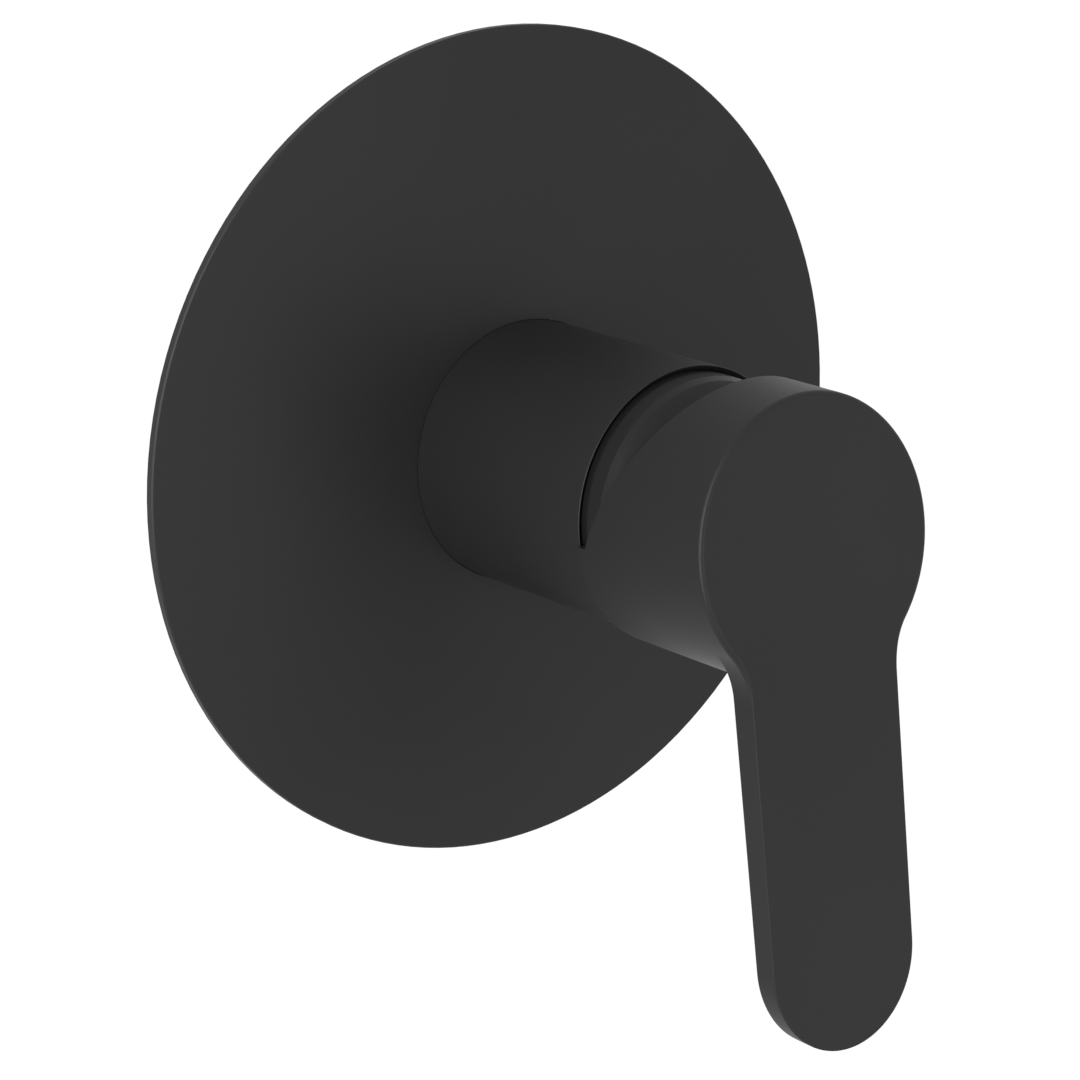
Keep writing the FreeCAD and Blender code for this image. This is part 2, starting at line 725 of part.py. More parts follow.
def make_stem():
    body = new_body("stem")
    turn = FreeCAD.Rotation(FreeCAD.Vector(1, 0, 0), amount("90 + 0.5*lift_range"))
    body.Placement = FreeCAD.Placement(FreeCAD.Vector(0, amount("- pivot_distance"), 0), turn)
    bind(body, "Placement.Base.y", "- pivot_distance")
    bind(body, "Placement.Rotation.Angle", "90 + 0.5*lift_range")
    sketch = new_sketch(body, "arm", "XZ_Plane")
    draw_profile(sketch, [
        ("0", "- stem_back + arm_root"),
        ("0", "- stem_arm - ball_radius"),
        ("0.6*ball_radius", "- stem_arm - 0.8*ball_radius"),
        ("ball_radius", "- stem_arm - 0.3*ball_radius"),
        ("ball_radius", "- stem_arm + 0.3*ball_radius"),
        ("arm_radius", "- stem_arm + ball_radius"),
        ("arm_radius", "- stem_back + arm_root"),
    ])
    revolve(body, sketch)
    sketch = new_sketch(body, "bar", "XY_Plane", offset="- stem_back")
    draw_box(sketch, "- stem_half_width", "stem_half_width", "- stem_half_width", "stem_half_width")
    feature = pad(body, sketch, "stem_back + stem_front")
    bevel_edges(body, feature, "stem_bevel", lambda spot: abs(spot.z - sizes["stem_front"]) < 0.01, "end")
    sketch = new_sketch(body, "pin_hole", "YZ_Plane")
    draw_circle(sketch, "pin_radius + pin_gap")
    pocket(body, sketch, "4*stem_half_width", both_ways=True)
    return body


def make_pivot_pin():
    body = new_body("pivot_pin")
    sketch = new_sketch(body, "round", "YZ_Plane", rise="pivot_distance")
    draw_circle(sketch, "pin_radius")
    pad(body, sketch, "2*driver_radius - pin_inset", both_ways=True)
    return body


# Cartridge: housing, base, driver, carrier and the two ceramic discs

def draw_ports(sketch, grow="0"):
    draw_circle(sketch, "inlet_port_radius + " + grow, "inlet_port_x", "- inlet_port_drop")
    draw_circle(sketch, "inlet_port_radius + " + grow, "- inlet_port_x", "- inlet_port_drop")
    draw_circle(sketch, "outlet_port_radius + " + grow, "0", "outlet_port_rise")


def make_cartridge_housing():
    body = new_body("cartridge_housing")
    inner = "cartridge_radius - housing_wall"
    bore = "driver_radius + driver_gap"
    sketch = new_sketch(body, "profile", "XZ_Plane")
    draw_profile(sketch, [
        (inner, "floor_distance + base_flange"),
        ("cartridge_radius", "floor_distance + base_flange"),
        ("cartridge_radius", "shoulder_front"),
        ("neck_radius", "shoulder_front"),
        ("neck_radius", "neck_front"),
        (bore, "neck_front"),
        (bore, "shoulder_front - shoulder_wall"),
        (inner, "shoulder_front - shoulder_wall"),
    ])
    revolve(body, sketch)
    return body


def make_cartridge_base():
    body = new_body("cartridge_base")
    sketch = new_sketch(body, "profile", "XZ_Plane")
    draw_profile(sketch, [
        ("0", "floor_distance"),
        ("cartridge_radius", "floor_distance"),
        ("cartridge_radius", "floor_distance + base_flange"),
        ("cartridge_radius - housing_wall - base_gap", "floor_distance + base_flange"),
        ("cartridge_radius - housing_wall - base_gap", "base_front"),
        ("0", "base_front"),
    ])
    revolve(body, sketch)
    sketch = new_sketch(body, "ports", "XY_Plane", offset="floor_distance")
    draw_ports(sketch)
    pocket(body, sketch, "base_depth + overcut", along_normal=True)
    sketch = new_sketch(body, "seal_seats", "XY_Plane", offset="floor_distance")
    draw_ports(sketch, "port_seal_width")
    pocket(body, sketch, "port_seal_width", along_normal=True)
    sketch = new_sketch(body, "locators", "XY_Plane", offset="floor_distance")
    draw_circle(sketch, "locator_radius", "locator_x", "- locator_drop")
    draw_circle(sketch, "locator_radius", "- locator_x", "- locator_drop")
    pad(body, sketch, "locator_depth", backward=True)
    return body


def make_port_seals():
    cord = "0.5*port_seal_width - ring_play"
    inlet = "inlet_port_radius + 0.5*port_seal_width"
    outlet = "outlet_port_radius + 0.5*port_seal_width"
    level = "floor_distance + 0.5*port_seal_width"
    return gather("port_seals", [
        new_ring("hot_port_ring", inlet, cord, level, "- inlet_port_x", "- inlet_port_drop"),
        new_ring("cold_port_ring", inlet, cord, level, "inlet_port_x", "- inlet_port_drop"),
        new_ring("mixed_port_ring", outlet, cord, level, "0", "outlet_port_rise"),
    ])


def make_fixed_disc():
    body = new_body("fixed_ceramic_disc")
    sketch = new_sketch(body, "disc", "XY_Plane", offset="base_front")
    draw_circle(sketch, "cartridge_radius - housing_wall - base_gap")
    draw_ports(sketch)
    pad(body, sketch, "fixed_disc_depth")
    return body


def make_moving_disc():
    body = new_body("moving_ceramic_disc")
    level = "base_front + fixed_disc_depth"
    sketch = new_sketch(body, "disc", "XY_Plane", offset=level)
    draw_circle(sketch, "moving_disc_radius", "0", "disc_offset")
    pad(body, sketch, "moving_disc_depth")
    sketch = new_sketch(body, "mixing_pocket", "XY_Plane", offset=level)
    draw_circle(sketch, "pocket_radius", "0", "disc_offset + pocket_rise")
    pocket(body, sketch, "pocket_depth", along_normal=True)
    return body


def make_disc_carrier():
    body = new_body("disc_carrier")
    sketch = new_sketch(body, "plate", "XY_Plane", offset="disc_front")
    draw_circle(sketch, "moving_disc_radius", "0", "disc_offset")
    pad(body, sketch, "carrier_depth")
    sketch = new_sketch(body, "boss", "XY_Plane", offset="disc_front")
    draw_circle(sketch, "carrier_boss_radius", "0", "disc_offset")
    pad(body, sketch, "carrier_depth + carrier_boss_rise")
    sketch = new_sketch(body, "ball_hole", "XY_Plane", offset="carrier_boss_front")
    draw_circle(sketch, "ball_radius + swing_gap", "0", "disc_offset")
    pocket(body, sketch, "carrier_boss_front - pivot_distance + stem_arm + ball_radius + ball_room")
    return body


def make_driver():
    body = new_body("rotating_driver")
    groove = "driver_radius - driver_ring_groove"
    half = "0.5*driver_ring_groove + groove_side_play"
    sketch = new_sketch(body, "profile", "XZ_Plane")
    draw_profile(sketch, [
        ("0", "driver_flange"),
        ("cartridge_radius - housing_wall - swing_gap", "driver_flange"),
        ("cartridge_radius - housing_wall - swing_gap", "driver_flange + driver_flange_depth"),
        ("driver_radius", "driver_flange + driver_flange_depth"),
        ("driver_radius", "driver_ring_distance - 0.5*driver_ring_groove - groove_side_play"),
        (groove, "driver_ring_distance - 0.5*driver_ring_groove - groove_side_play"),
        (groove, "driver_ring_distance + " + half),
        ("driver_radius", "driver_ring_distance + " + half),
        ("driver_radius", "driver_front"),
        ("0", "driver_front"),
    ])
    revolve(body, sketch)
    sketch = new_sketch(body, "boss_slot", "XY_Plane", offset="driver_flange")
    side = "carrier_boss_radius + swing_gap"
    reach = "carrier_boss_radius + disc_offset + swing_gap"
    draw_box(sketch, "- carrier_boss_radius - swing_gap", side,
             "- carrier_boss_radius - disc_offset - swing_gap", reach)
    pocket(body, sketch, "carrier_boss_front - driver_flange + 2*swing_gap", along_normal=True)
    sketch = new_sketch(body, "stem_slot", "XY_Plane", offset="driver_flange")
    draw_box(sketch, "- stem_half_width - swing_gap", "stem_half_width + swing_gap",
             "- driver_slot", "driver_slot")
    pocket(body, sketch, "driver_front - driver_flange + overcut", along_normal=True)
    sketch = new_sketch(body, "pin_hole", "YZ_Plane", rise="pivot_distance")
    draw_circle(sketch, "pin_radius")
    pocket(body, sketch, "3*driver_radius", both_ways=True)
    return body


def make_driver_ring():
    middle = "driver_radius - 0.5*driver_ring_groove + 0.5*driver_gap"
    return new_ring("driver_ring", middle, "0.5*driver_ring_groove - ring_play", "driver_ring_distance")


def make_retaining_nut():
    body = new_body("retaining_nut")
    bore = "neck_radius + nut_bore_gap"
    sketch = new_sketch(body, "thread", "XY_Plane", offset="shoulder_front")
    draw_circle(sketch, "nut_radius")
    draw_circle(sketch, bore)
    pad(body, sketch, "nut_length")
    sketch = new_sketch(body, "hexagon", "XY_Plane", offset="barrel_front")
    draw_hexagon(sketch, "nut_hexagon")
    pad(body, sketch, "nut_head")
    sketch = new_sketch(body, "bore", "XY_Plane", offset="shoulder_front")
    draw_circle(sketch, bore)
    pocket(body, sketch, "nut_length + nut_head + overcut", along_normal=True)
    return body


# Valve body: a brass casting with a barrel for the cartridge and four ports in a cross

def at_boss_end(spot):
    return abs(spot.x) > amount("inlet_reach") - 0.01 or abs(spot.y) > amount("outlet_reach") - 0.01


def make_valve_body():
    body = new_body("valve_body")
    bottom = "barrel_radius - ring_groove_depth"
    sketch = new_sketch(body, "profile", "XZ_Plane")
    draw_profile(sketch, [
        ("0", "- body_back"),
        ("body_radius", "- body_back"),
        ("body_radius", "- barrel_back"),
        ("barrel_radius", "- barrel_back"),
        ("barrel_radius", "ring_back - 0.5*ring_groove_width"),
        (bottom, "ring_back - 0.5*ring_groove_width"),
        (bottom, "ring_back + 0.5*ring_groove_width"),
        ("barrel_radius", "ring_back + 0.5*ring_groove_width"),
        ("barrel_radius", "ring_front - 0.5*ring_groove_width"),
        (bottom, "ring_front - 0.5*ring_groove_width"),
        (bottom, "ring_front + 0.5*ring_groove_width"),
        ("barrel_radius", "ring_front + 0.5*ring_groove_width"),
        ("barrel_radius", "barrel_front"),
        ("nut_bore", "barrel_front"),
        ("nut_bore", "nut_seat"),
        ("cartridge_radius + cartridge_gap", "nut_seat"),
        ("cartridge_radius + cartridge_gap", "floor_distance"),
        ("0", "floor_distance"),
    ])
    revolve(body, sketch)
    sketch = new_sketch(body, "inlet_boss", "YZ_Plane")
    draw_circle(sketch, "port_boss_radius", "0", "- port_level")
    pad(body, sketch, "2*inlet_reach", both_ways=True)
    sketch = new_sketch(body, "outlet_boss", "XZ_Plane")
    draw_circle(sketch, "port_boss_radius", "0", "- port_level")
    feature = pad(body, sketch, "2*outlet_reach", both_ways=True)
    bevel_edges(body, feature, "boss_bevel", at_boss_end, "rims")
    for name, side in (("hot", "- "), ("cold", "")):
        sketch = new_sketch(body, name + "_thread", "YZ_Plane", offset=side + "inlet_reach")
        draw_circle(sketch, "thread_radius", "0", "- port_level")
        pocket(body, sketch, "thread_depth", along_normal=side != "")
        sketch = new_sketch(body, name + "_bore", "YZ_Plane", offset=side + "inlet_bore_end")
        draw_circle(sketch, "inlet_bore", "0", "- port_level")
        pocket(body, sketch, "inlet_reach", along_normal=side == "")
    sketch = new_sketch(body, "mixed_bore", "XZ_Plane")
    draw_circle(sketch, "mixed_bore", "0", "- port_level")
    pocket(body, sketch, "2*outlet_reach + overcut", both_ways=True)
    for name, side in (("shower", "- "), ("lower", "")):
        sketch = new_sketch(body, name + "_thread", "XZ_Plane", offset=side + "outlet_reach")
        draw_circle(sketch, "thread_radius", "0", "- port_level")
        pocket(body, sketch, "thread_depth", along_normal=side != "")
    sketch = new_sketch(body, "feeds", "XY_Plane", offset="floor_distance")
    draw_ports(sketch)
    pocket(body, sketch, "floor_distance + port_level")
    sketch = new_sketch(body, "locator_holes", "XY_Plane", offset="floor_distance")
    draw_circle(sketch, "locator_radius + locator_gap", "locator_x", "- locator_drop")
    draw_circle(sketch, "locator_radius + locator_gap", "- locator_x", "- locator_drop")
    pocket(body, sketch, "locator_depth + locator_end_gap")
    sketch = new_sketch(body, "screw_holes", "XY_Plane", offset="- body_back")
    draw_circle(sketch, "screw_radius + screw_thread_gap", "screw_x", "0")
    draw_circle(sketch, "screw_radius + screw_thread_gap", "- screw_x", "0")
    pocket(body, sketch, "screw_length - 0.9*fixing_depth + screw_tip_room", along_normal=True)
    return body


def make_sleeve_rings():
    inner = "0.5*sleeve_radius - 0.5*sleeve_wall"
    cord = inner + " - 0.5*barrel_radius + 0.5*ring_groove_depth - ring_play"
    middle = inner + " + 0.5*barrel_radius - 0.5*ring_groove_depth"
    return gather("sleeve_rings", [
        new_ring("front_ring", middle, cord, "ring_front"),
        new_ring("back_ring", middle, cord, "ring_back"),
    ])


def at_fixing_corner(spot):
    far_across = abs(spot.x) > sizes["fixing_half_width"] - 0.01
    far_up = abs(spot.y) > sizes["fixing_half_height"] - 0.01
    return far_across and far_up


def make_fixing_plate():
    body = new_body("fixing_plate")
    sketch = new_sketch(body, "plate", "XY_Plane", offset="- body_back - fixing_depth")
    draw_box(sketch, "- fixing_half_width", "fixing_half_width", "- fixing_half_height", "fixing_half_height")
    for across in ("- fixing_hole_x", "fixing_hole_x"):
        for up in ("- fixing_hole_y", "fixing_hole_y"):
            draw_circle(sketch, "fixing_hole_radius", across, up)
    feature = pad(body, sketch, "fixing_depth")
    feature = round_edges(body, feature, "fixing_corner", at_fixing_corner, "corners")
    for across in ("- screw_x", "screw_x"):
        name = "left" if across[0] == "-" else "right"
        sketch = new_sketch(body, name + "_screw_hole", "XY_Plane", offset="- body_back")
        draw_circle(sketch, "screw_radius + screw_hole_gap", across, "0")
        pocket(body, sketch, "2*fixing_depth")
        sketch = new_sketch(body, name + "_head_seat", "XY_Plane", offset="- body_back - fixing_depth")
        draw_circle(sketch, "screw_head_radius + screw_hole_gap", across, "0")
        pocket(body, sketch, "0.6*fixing_depth", along_normal=True)
    return body


def make_fixing_screws():
    screws = []
    for name, side in (("left", "-1"), ("right", "1")):
        head = doc.addObject("Part::Cylinder", name + "_screw_head")
        shank = doc.addObject("Part::Cylinder", name + "_screw_shank")
        key = doc.addObject("Part::Prism", name + "_screw_key")
        for piece in (head, shank, key):
            piece.Placement = FreeCAD.Placement(FreeCAD.Vector(0, 0, 0),
                                                FreeCAD.Rotation(FreeCAD.Vector(1, 0, 0), 90))
            piece.setExpression("Placement.Base.x", side + " * Sizes.screw_x")
            bind(piece, "Placement.Base.y", "body_back + 0.9*fixing_depth")
        bind(head, "Radius", "screw_head_radius")
        bind(head, "Height", "0.5*fixing_depth")
        bind(shank, "Radius", "screw_radius")
        bind(shank, "Height", "screw_length")
        key.Polygon = 6
        key.setExpression("Circumradius", "(%s) / sqrt(3)" % linked("screw_key_across"))
        bind(key, "Height", "screw_key_depth")
        blank = doc.addObject("Part::Fuse", name + "_screw_blank")
        blank.Base = head
        blank.Tool = shank
        screw = doc.addObject("Part::Cut", name + "_screw")
        screw.Base = blank
        screw.Tool = key
        screws.append(screw)
    return gather("fixing_screws", screws)


def make_blanking_plug():
    body = new_body("blanking_plug")
    seat = "- outlet_reach - washer_depth"
    flange = seat + " - blank_flange_depth"
    sketch = new_sketch(body, "profile", "XY_Plane", offset="- port_level")
    draw_profile(sketch, [
        ("0", flange),
        ("blank_flange_radius", flange),
        ("blank_flange_radius", seat),
        ("thread_radius - thread_gap", seat),
        ("thread_radius - thread_gap", seat + " + blank_thread_length"),
        ("0", seat + " + blank_thread_length"),
    ])
    revolve(body, sketch)
    sketch = new_sketch(body, "hexagon", "XZ_Plane", rise="- port_level",
                        offset="outlet_reach + washer_depth + blank_flange_depth")
    draw_hexagon(sketch, "plug_hexagon")
    pad(body, sketch, "blank_head_depth - blank_flange_depth")
    return body


def make_plug_washer():
    body = new_body("plug_washer")
    sketch = new_sketch(body, "ring", "XZ_Plane", offset="outlet_reach")
    draw_circle(sketch, "blank_flange_radius", "0", "- port_level")
    draw_circle(sketch, "thread_radius + plug_mouth_gap", "0", "- port_level")
    pad(body, sketch, "washer_depth")
    return body


pieces = [
    make_face_plate(),
    make_plate_gasket(),
    make_plate_seal(),
    make_sleeve(),
    make_sleeve_rings(),
    make_cover_ring(),
    make_lever_handle(),
    make_grub_screw(),
    make_index_plug(),
    make_stem(),
    make_pivot_pin(),
    make_driver(),
    make_driver_ring(),
    make_disc_carrier(),
    make_moving_disc(),
    make_fixed_disc(),
    make_cartridge_base(),
    make_port_seals(),
    make_cartridge_housing(),
    make_retaining_nut(),
    make_valve_body(),
    make_fixing_plate(),
    make_fixing_screws(),
    make_blanking_plug(),
    make_plug_washer(),
]
doc.recompute()

for item in doc.Objects:
    if "Invalid" in item.State or "Error" in item.State:
        raise RuntimeError(item.Label + " did not recompute")

os.makedirs("parts", exist_ok=True)
for piece in pieces:
    if piece.Shape.isNull() or not piece.Shape.isValid():
        raise RuntimeError(piece.Label + " has no valid shape")
    piece.Shape.exportStep("parts/" + piece.Label + ".step")
    box = piece.Shape.BoundBox
    print("%-22s x %.1f %.1f  y %.1f %.1f  z %.1f %.1f  solids %d" % (
        piece.Label, box.XMin, box.XMax, box.YMin, box.YMax, box.ZMin, box.ZMax, len(piece.Shape.Solids)))
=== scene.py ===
import bpy
import math
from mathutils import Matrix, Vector


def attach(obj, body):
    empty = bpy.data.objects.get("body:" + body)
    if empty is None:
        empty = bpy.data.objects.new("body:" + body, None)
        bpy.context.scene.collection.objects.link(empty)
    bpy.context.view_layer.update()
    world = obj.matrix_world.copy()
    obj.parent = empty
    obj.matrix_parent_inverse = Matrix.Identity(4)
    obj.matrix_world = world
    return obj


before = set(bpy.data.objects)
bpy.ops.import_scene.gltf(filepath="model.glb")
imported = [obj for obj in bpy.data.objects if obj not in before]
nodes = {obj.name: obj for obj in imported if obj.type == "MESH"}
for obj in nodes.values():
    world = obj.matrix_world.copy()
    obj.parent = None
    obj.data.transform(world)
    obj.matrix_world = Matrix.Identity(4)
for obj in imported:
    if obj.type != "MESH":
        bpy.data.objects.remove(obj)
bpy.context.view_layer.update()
mm = 0.001
print("frame loaded:", len(nodes), "nodes")


# small helpers for materials

def newMaterial(name):
    material = bpy.data.materials.new(name)
    material.use_nodes = True
    return material, material.node_tree.nodes, material.node_tree.links


def objectPoint(ns, links, stretch=(1, 1, 1)):
    coords = ns.new("ShaderNodeTexCoord")
    mapping = ns.new("ShaderNodeMapping")
    mapping.inputs["Scale"].default_value = stretch
    links.new(coords.outputs["Object"], mapping.inputs["Vector"])
    return mapping.outputs["Vector"]


def noise(ns, links, point, scale, detail=3, rough=0.5):
    texture = ns.new("ShaderNodeTexNoise")
    texture.inputs["Scale"].default_value = scale
    texture.inputs["Detail"].default_value = detail
    texture.inputs["Roughness"].default_value = rough
    links.new(point, texture.inputs["Vector"])
    return texture.outputs["Fac"]


def spread(ns, links, source, low, high, fromLow=0.3, fromHigh=0.7):
    span = ns.new("ShaderNodeMapRange")
    span.inputs["From Min"].default_value = fromLow
    span.inputs["From Max"].default_value = fromHigh
    span.inputs["To Min"].default_value = low
    span.inputs["To Max"].default_value = high
    links.new(source, span.inputs["Value"])
    return span.outputs["Result"]


def mixColours(ns, links, factor, first, second):
    mix = ns.new("ShaderNodeMix")
    mix.data_type = "RGBA"
    mix.inputs[6].default_value = (*first, 1)
    mix.inputs[7].default_value = (*second, 1)
    links.new(factor, mix.inputs["Factor"])
    return mix.outputs[2]


def bump(ns, links, height, depth, strength=1.0, under=None):
    node = ns.new("ShaderNodeBump")
    node.inputs["Strength"].default_value = strength
    node.inputs["Distance"].default_value = depth
    links.new(height, node.inputs["Height"])
    if under is not None:
        links.new(under, node.inputs["Normal"])
    return node.outputs["Normal"]


def calc(ns, links, kind, first, second=None):
    node = ns.new("ShaderNodeMath")
    node.operation = kind
    for socket, value in zip(node.inputs, (first, second)):
        if isinstance(value, (int, float)):
            socket.default_value = value
        elif value is not None:
            links.new(value, socket)
    return node.outputs[0]


def splitPoint(ns, links):
    coords = ns.new("ShaderNodeTexCoord")
    split = ns.new("ShaderNodeSeparateXYZ")
    links.new(coords.outputs["Object"], split.inputs[0])
    return split.outputs


# matte black coat of everything in the room, and the moulded cover ring beside it, whose darker tone is
# painted shade of the recess between sleeve and head

blackFinishes = {
    "matteBlackCoat": {
        "dark": (0.0135, 0.0135, 0.0137), "light": (0.0158, 0.0158, 0.0160), "driftScale": 22,
        "roughness": (0.43, 0.49), "specular": 0.20, "grainScale": 2600, "grainDepth": 0.000012,
    },
    # a darker, glossier copy of the coat: the glossier moulding is real, and the darker tone is painted shade
    # of the recess the ring sits in
    "coverRingPaintedShadeBlack": {
        "dark": (0.0095, 0.0095, 0.0096), "light": (0.0112, 0.0112, 0.0113), "driftScale": 40,
        "roughness": (0.28, 0.33), "specular": 0.20, "grainScale": 3400, "grainDepth": 0.000008,
    },
}


def makeBlackFinish(name):
    s = blackFinishes[name]
    material, ns, links = newMaterial(name)
    shader = ns["Principled BSDF"]
    point = objectPoint(ns, links)
    drift = noise(ns, links, point, s["driftScale"])
    grain = noise(ns, links, point, s["grainScale"], detail=2)
    links.new(mixColours(ns, links, spread(ns, links, drift, 0, 1), s["dark"], s["light"]),
              shader.inputs["Base Color"])
    links.new(spread(ns, links, drift, *s["roughness"]), shader.inputs["Roughness"])
    links.new(bump(ns, links, grain, s["grainDepth"]), shader.inputs["Normal"])
    shader.inputs["Specular IOR Level"].default_value = s["specular"]
    return material


# cast brass with its skin, and turned brass

castBrass = {
    "dark": (0.36, 0.22, 0.085),
    "light": (0.50, 0.33, 0.14),
    "driftScale": 60,
    "skinScale": 900,
    "skinDepth": 0.00012,
    "roughness": (0.38, 0.54),
    "cutColour": (0.66, 0.47, 0.21),
    "cutRelief": 0.04,
    "cutShine": 0.5,
    "sideEnd": 0.0341,
    "upEnd": 0.0371,
    "barrelRadius": 0.02205,
    "barrelBack": 0.0035,
}
turnedBrass = {
    "dark": (0.62, 0.43, 0.18),
    "light": (0.74, 0.55, 0.27),
    "driftScale": 90,
    "lineScale": 1500,
    "lineDepth": 0.00001,
    "roughness": (0.2, 0.32),
}


def cutFaces(ns, links, s):
    # 1 on the machined ends of the ports and on the turned barrel, 0 on the cast skin
    x, y, z = splitPoint(ns, links)
    sideEnds = calc(ns, links, "GREATER_THAN", calc(ns, links, "ABSOLUTE", x), s["sideEnd"])
    upEnds = calc(ns, links, "GREATER_THAN", calc(ns, links, "ABSOLUTE", z), s["upEnd"])
    squares = calc(ns, links, "ADD", calc(ns, links, "MULTIPLY", x, x), calc(ns, links, "MULTIPLY", z, z))
    near = calc(ns, links, "LESS_THAN", calc(ns, links, "SQRT", squares), s["barrelRadius"])
    barrel = calc(ns, links, "MULTIPLY", near, calc(ns, links, "LESS_THAN", y, s["barrelBack"]))
    return calc(ns, links, "MAXIMUM", calc(ns, links, "MAXIMUM", sideEnds, upEnds), barrel)


def makeCastBrass():
    s = castBrass
    material, ns, links = newMaterial("castBrassSkin")
    shader = ns["Principled BSDF"]
    point = objectPoint(ns, links)
    skin = noise(ns, links, point, s["skinScale"], detail=4)
    drift = noise(ns, links, point, s["driftScale"])
    cut = cutFaces(ns, links, s)
    rough = mixColours(ns, links, spread(ns, links, drift, 0, 1), s["dark"], s["light"])
    colour = ns.new("ShaderNodeMix")
    colour.data_type = "RGBA"
    colour.inputs[7].default_value = (*s["cutColour"], 1)
    links.new(cut, colour.inputs["Factor"])
    links.new(rough, colour.inputs[6])
    links.new(colour.outputs[2], shader.inputs["Base Color"])
    relief = calc(ns, links, "MULTIPLY", skin, spread(ns, links, cut, 1, s["cutRelief"], 0, 1))
    shine = calc(ns, links, "MULTIPLY", spread(ns, links, skin, *s["roughness"]),
                 spread(ns, links, cut, 1, s["cutShine"], 0, 1))
    links.new(shine, shader.inputs["Roughness"])
    links.new(bump(ns, links, relief, s["skinDepth"]), shader.inputs["Normal"])
    shader.inputs["Metallic"].default_value = 1
    return material


# outer screw threads, as relief wound round an axis: along is the axis, round the other two

outerThreads = {
    "retaining_nut": {"along": 1, "centre": (0, 0), "pair": False, "pitch": 1.5 * mm, "depth": 0.45 * mm,
                      "rim": 19.6 * mm, "span": (-50 * mm, -45.4 * mm)},
    "blanking_plug": {"along": 2, "centre": (0, 24 * mm), "pair": False, "pitch": 1.8 * mm, "depth": 0.5 * mm,
                      "rim": 9.0 * mm, "span": (-37.5 * mm, -30 * mm)},
    "fixing_screws": {"along": 1, "centre": (12 * mm, 0), "pair": True, "pitch": 0.8 * mm, "depth": 0.25 * mm,
                      "rim": 1.8 * mm, "span": (32 * mm, 39 * mm)},
    "grub_screw": {"along": 2, "centre": (0, -76 * mm), "pair": False, "pitch": 1.0 * mm, "depth": 0.3 * mm,
                   "rim": 2.8 * mm, "span": (-18.2 * mm, -11 * mm)},
}


def threadHeight(ns, links, t):
    axes = list(splitPoint(ns, links))
    along = axes.pop(t["along"])
    first = calc(ns, links, "ABSOLUTE", axes[0]) if t["pair"] else axes[0]
    first = calc(ns, links, "SUBTRACT", first, t["centre"][0])
    second = calc(ns, links, "SUBTRACT", axes[1], t["centre"][1])
    squares = calc(ns, links, "ADD", calc(ns, links, "MULTIPLY", first, first),
                   calc(ns, links, "MULTIPLY", second, second))
    onRim = calc(ns, links, "GREATER_THAN", calc(ns, links, "SQRT", squares), t["rim"])
    turn = calc(ns, links, "DIVIDE", calc(ns, links, "ARCTAN2", second, first), 2 * math.pi)
    phase = calc(ns, links, "ADD", calc(ns, links, "DIVIDE", along, t["pitch"]), turn)
    ridge = calc(ns, links, "MULTIPLY", calc(ns, links, "PINGPONG", phase, 0.5), 2)  # 1 on a crest
    inSpan = calc(ns, links, "MULTIPLY", calc(ns, links, "GREATER_THAN", along, t["span"][0]),
                  calc(ns, links, "LESS_THAN", along, t["span"][1]))
    return calc(ns, links, "MULTIPLY", ridge, calc(ns, links, "MULTIPLY", onRim, inSpan))


def makeTurnedBrass(name="turnedBrass", thread=None):
    s = turnedBrass
    material, ns, links = newMaterial(name)
    shader = ns["Principled BSDF"]
    point = objectPoint(ns, links)
    lines = noise(ns, links, point, s["lineScale"], detail=2)
    drift = noise(ns, links, point, s["driftScale"])
    links.new(mixColours(ns, links, spread(ns, links, drift, 0, 1), s["dark"], s["light"]),
              shader.inputs["Base Color"])
    links.new(spread(ns, links, drift, *s["roughness"]), shader.inputs["Roughness"])
    relief = bump(ns, links, lines, s["lineDepth"])
    if thread:
        relief = bump(ns, links, threadHeight(ns, links, thread), thread["depth"], under=relief)
    links.new(relief, shader.inputs["Normal"])
    shader.inputs["Metallic"].default_value = 1
    return material


# steel of the screws, the pin and the fixing plate

steelFinish = {
    "dark": (0.42, 0.42, 0.43),
    "light": (0.60, 0.60, 0.61),
    "brushStretch": (30, 30, 1800),
    "brushDepth": 0.00001,
    "roughness": (0.26, 0.42),
}


def makeSteel(name="brushedSteel", thread=None):
    s = steelFinish
    material, ns, links = newMaterial(name)
    shader = ns["Principled BSDF"]
    point = objectPoint(ns, links, stretch=s["brushStretch"])
    brush = noise(ns, links, point, 1, detail=3)
    links.new(mixColours(ns, links, spread(ns, links, brush, 0, 1), s["dark"], s["light"]),
              shader.inputs["Base Color"])
    links.new(spread(ns, links, brush, *s["roughness"]), shader.inputs["Roughness"])
    relief = bump(ns, links, brush, s["brushDepth"])
    if thread:
        relief = bump(ns, links, threadHeight(ns, links, thread), thread["depth"], under=relief)
    links.new(relief, shader.inputs["Normal"])
    shader.inputs["Metallic"].default_value = 1
    return material


# rubber, foam, fibre, plastic and ceramic, all plain and slightly uneven

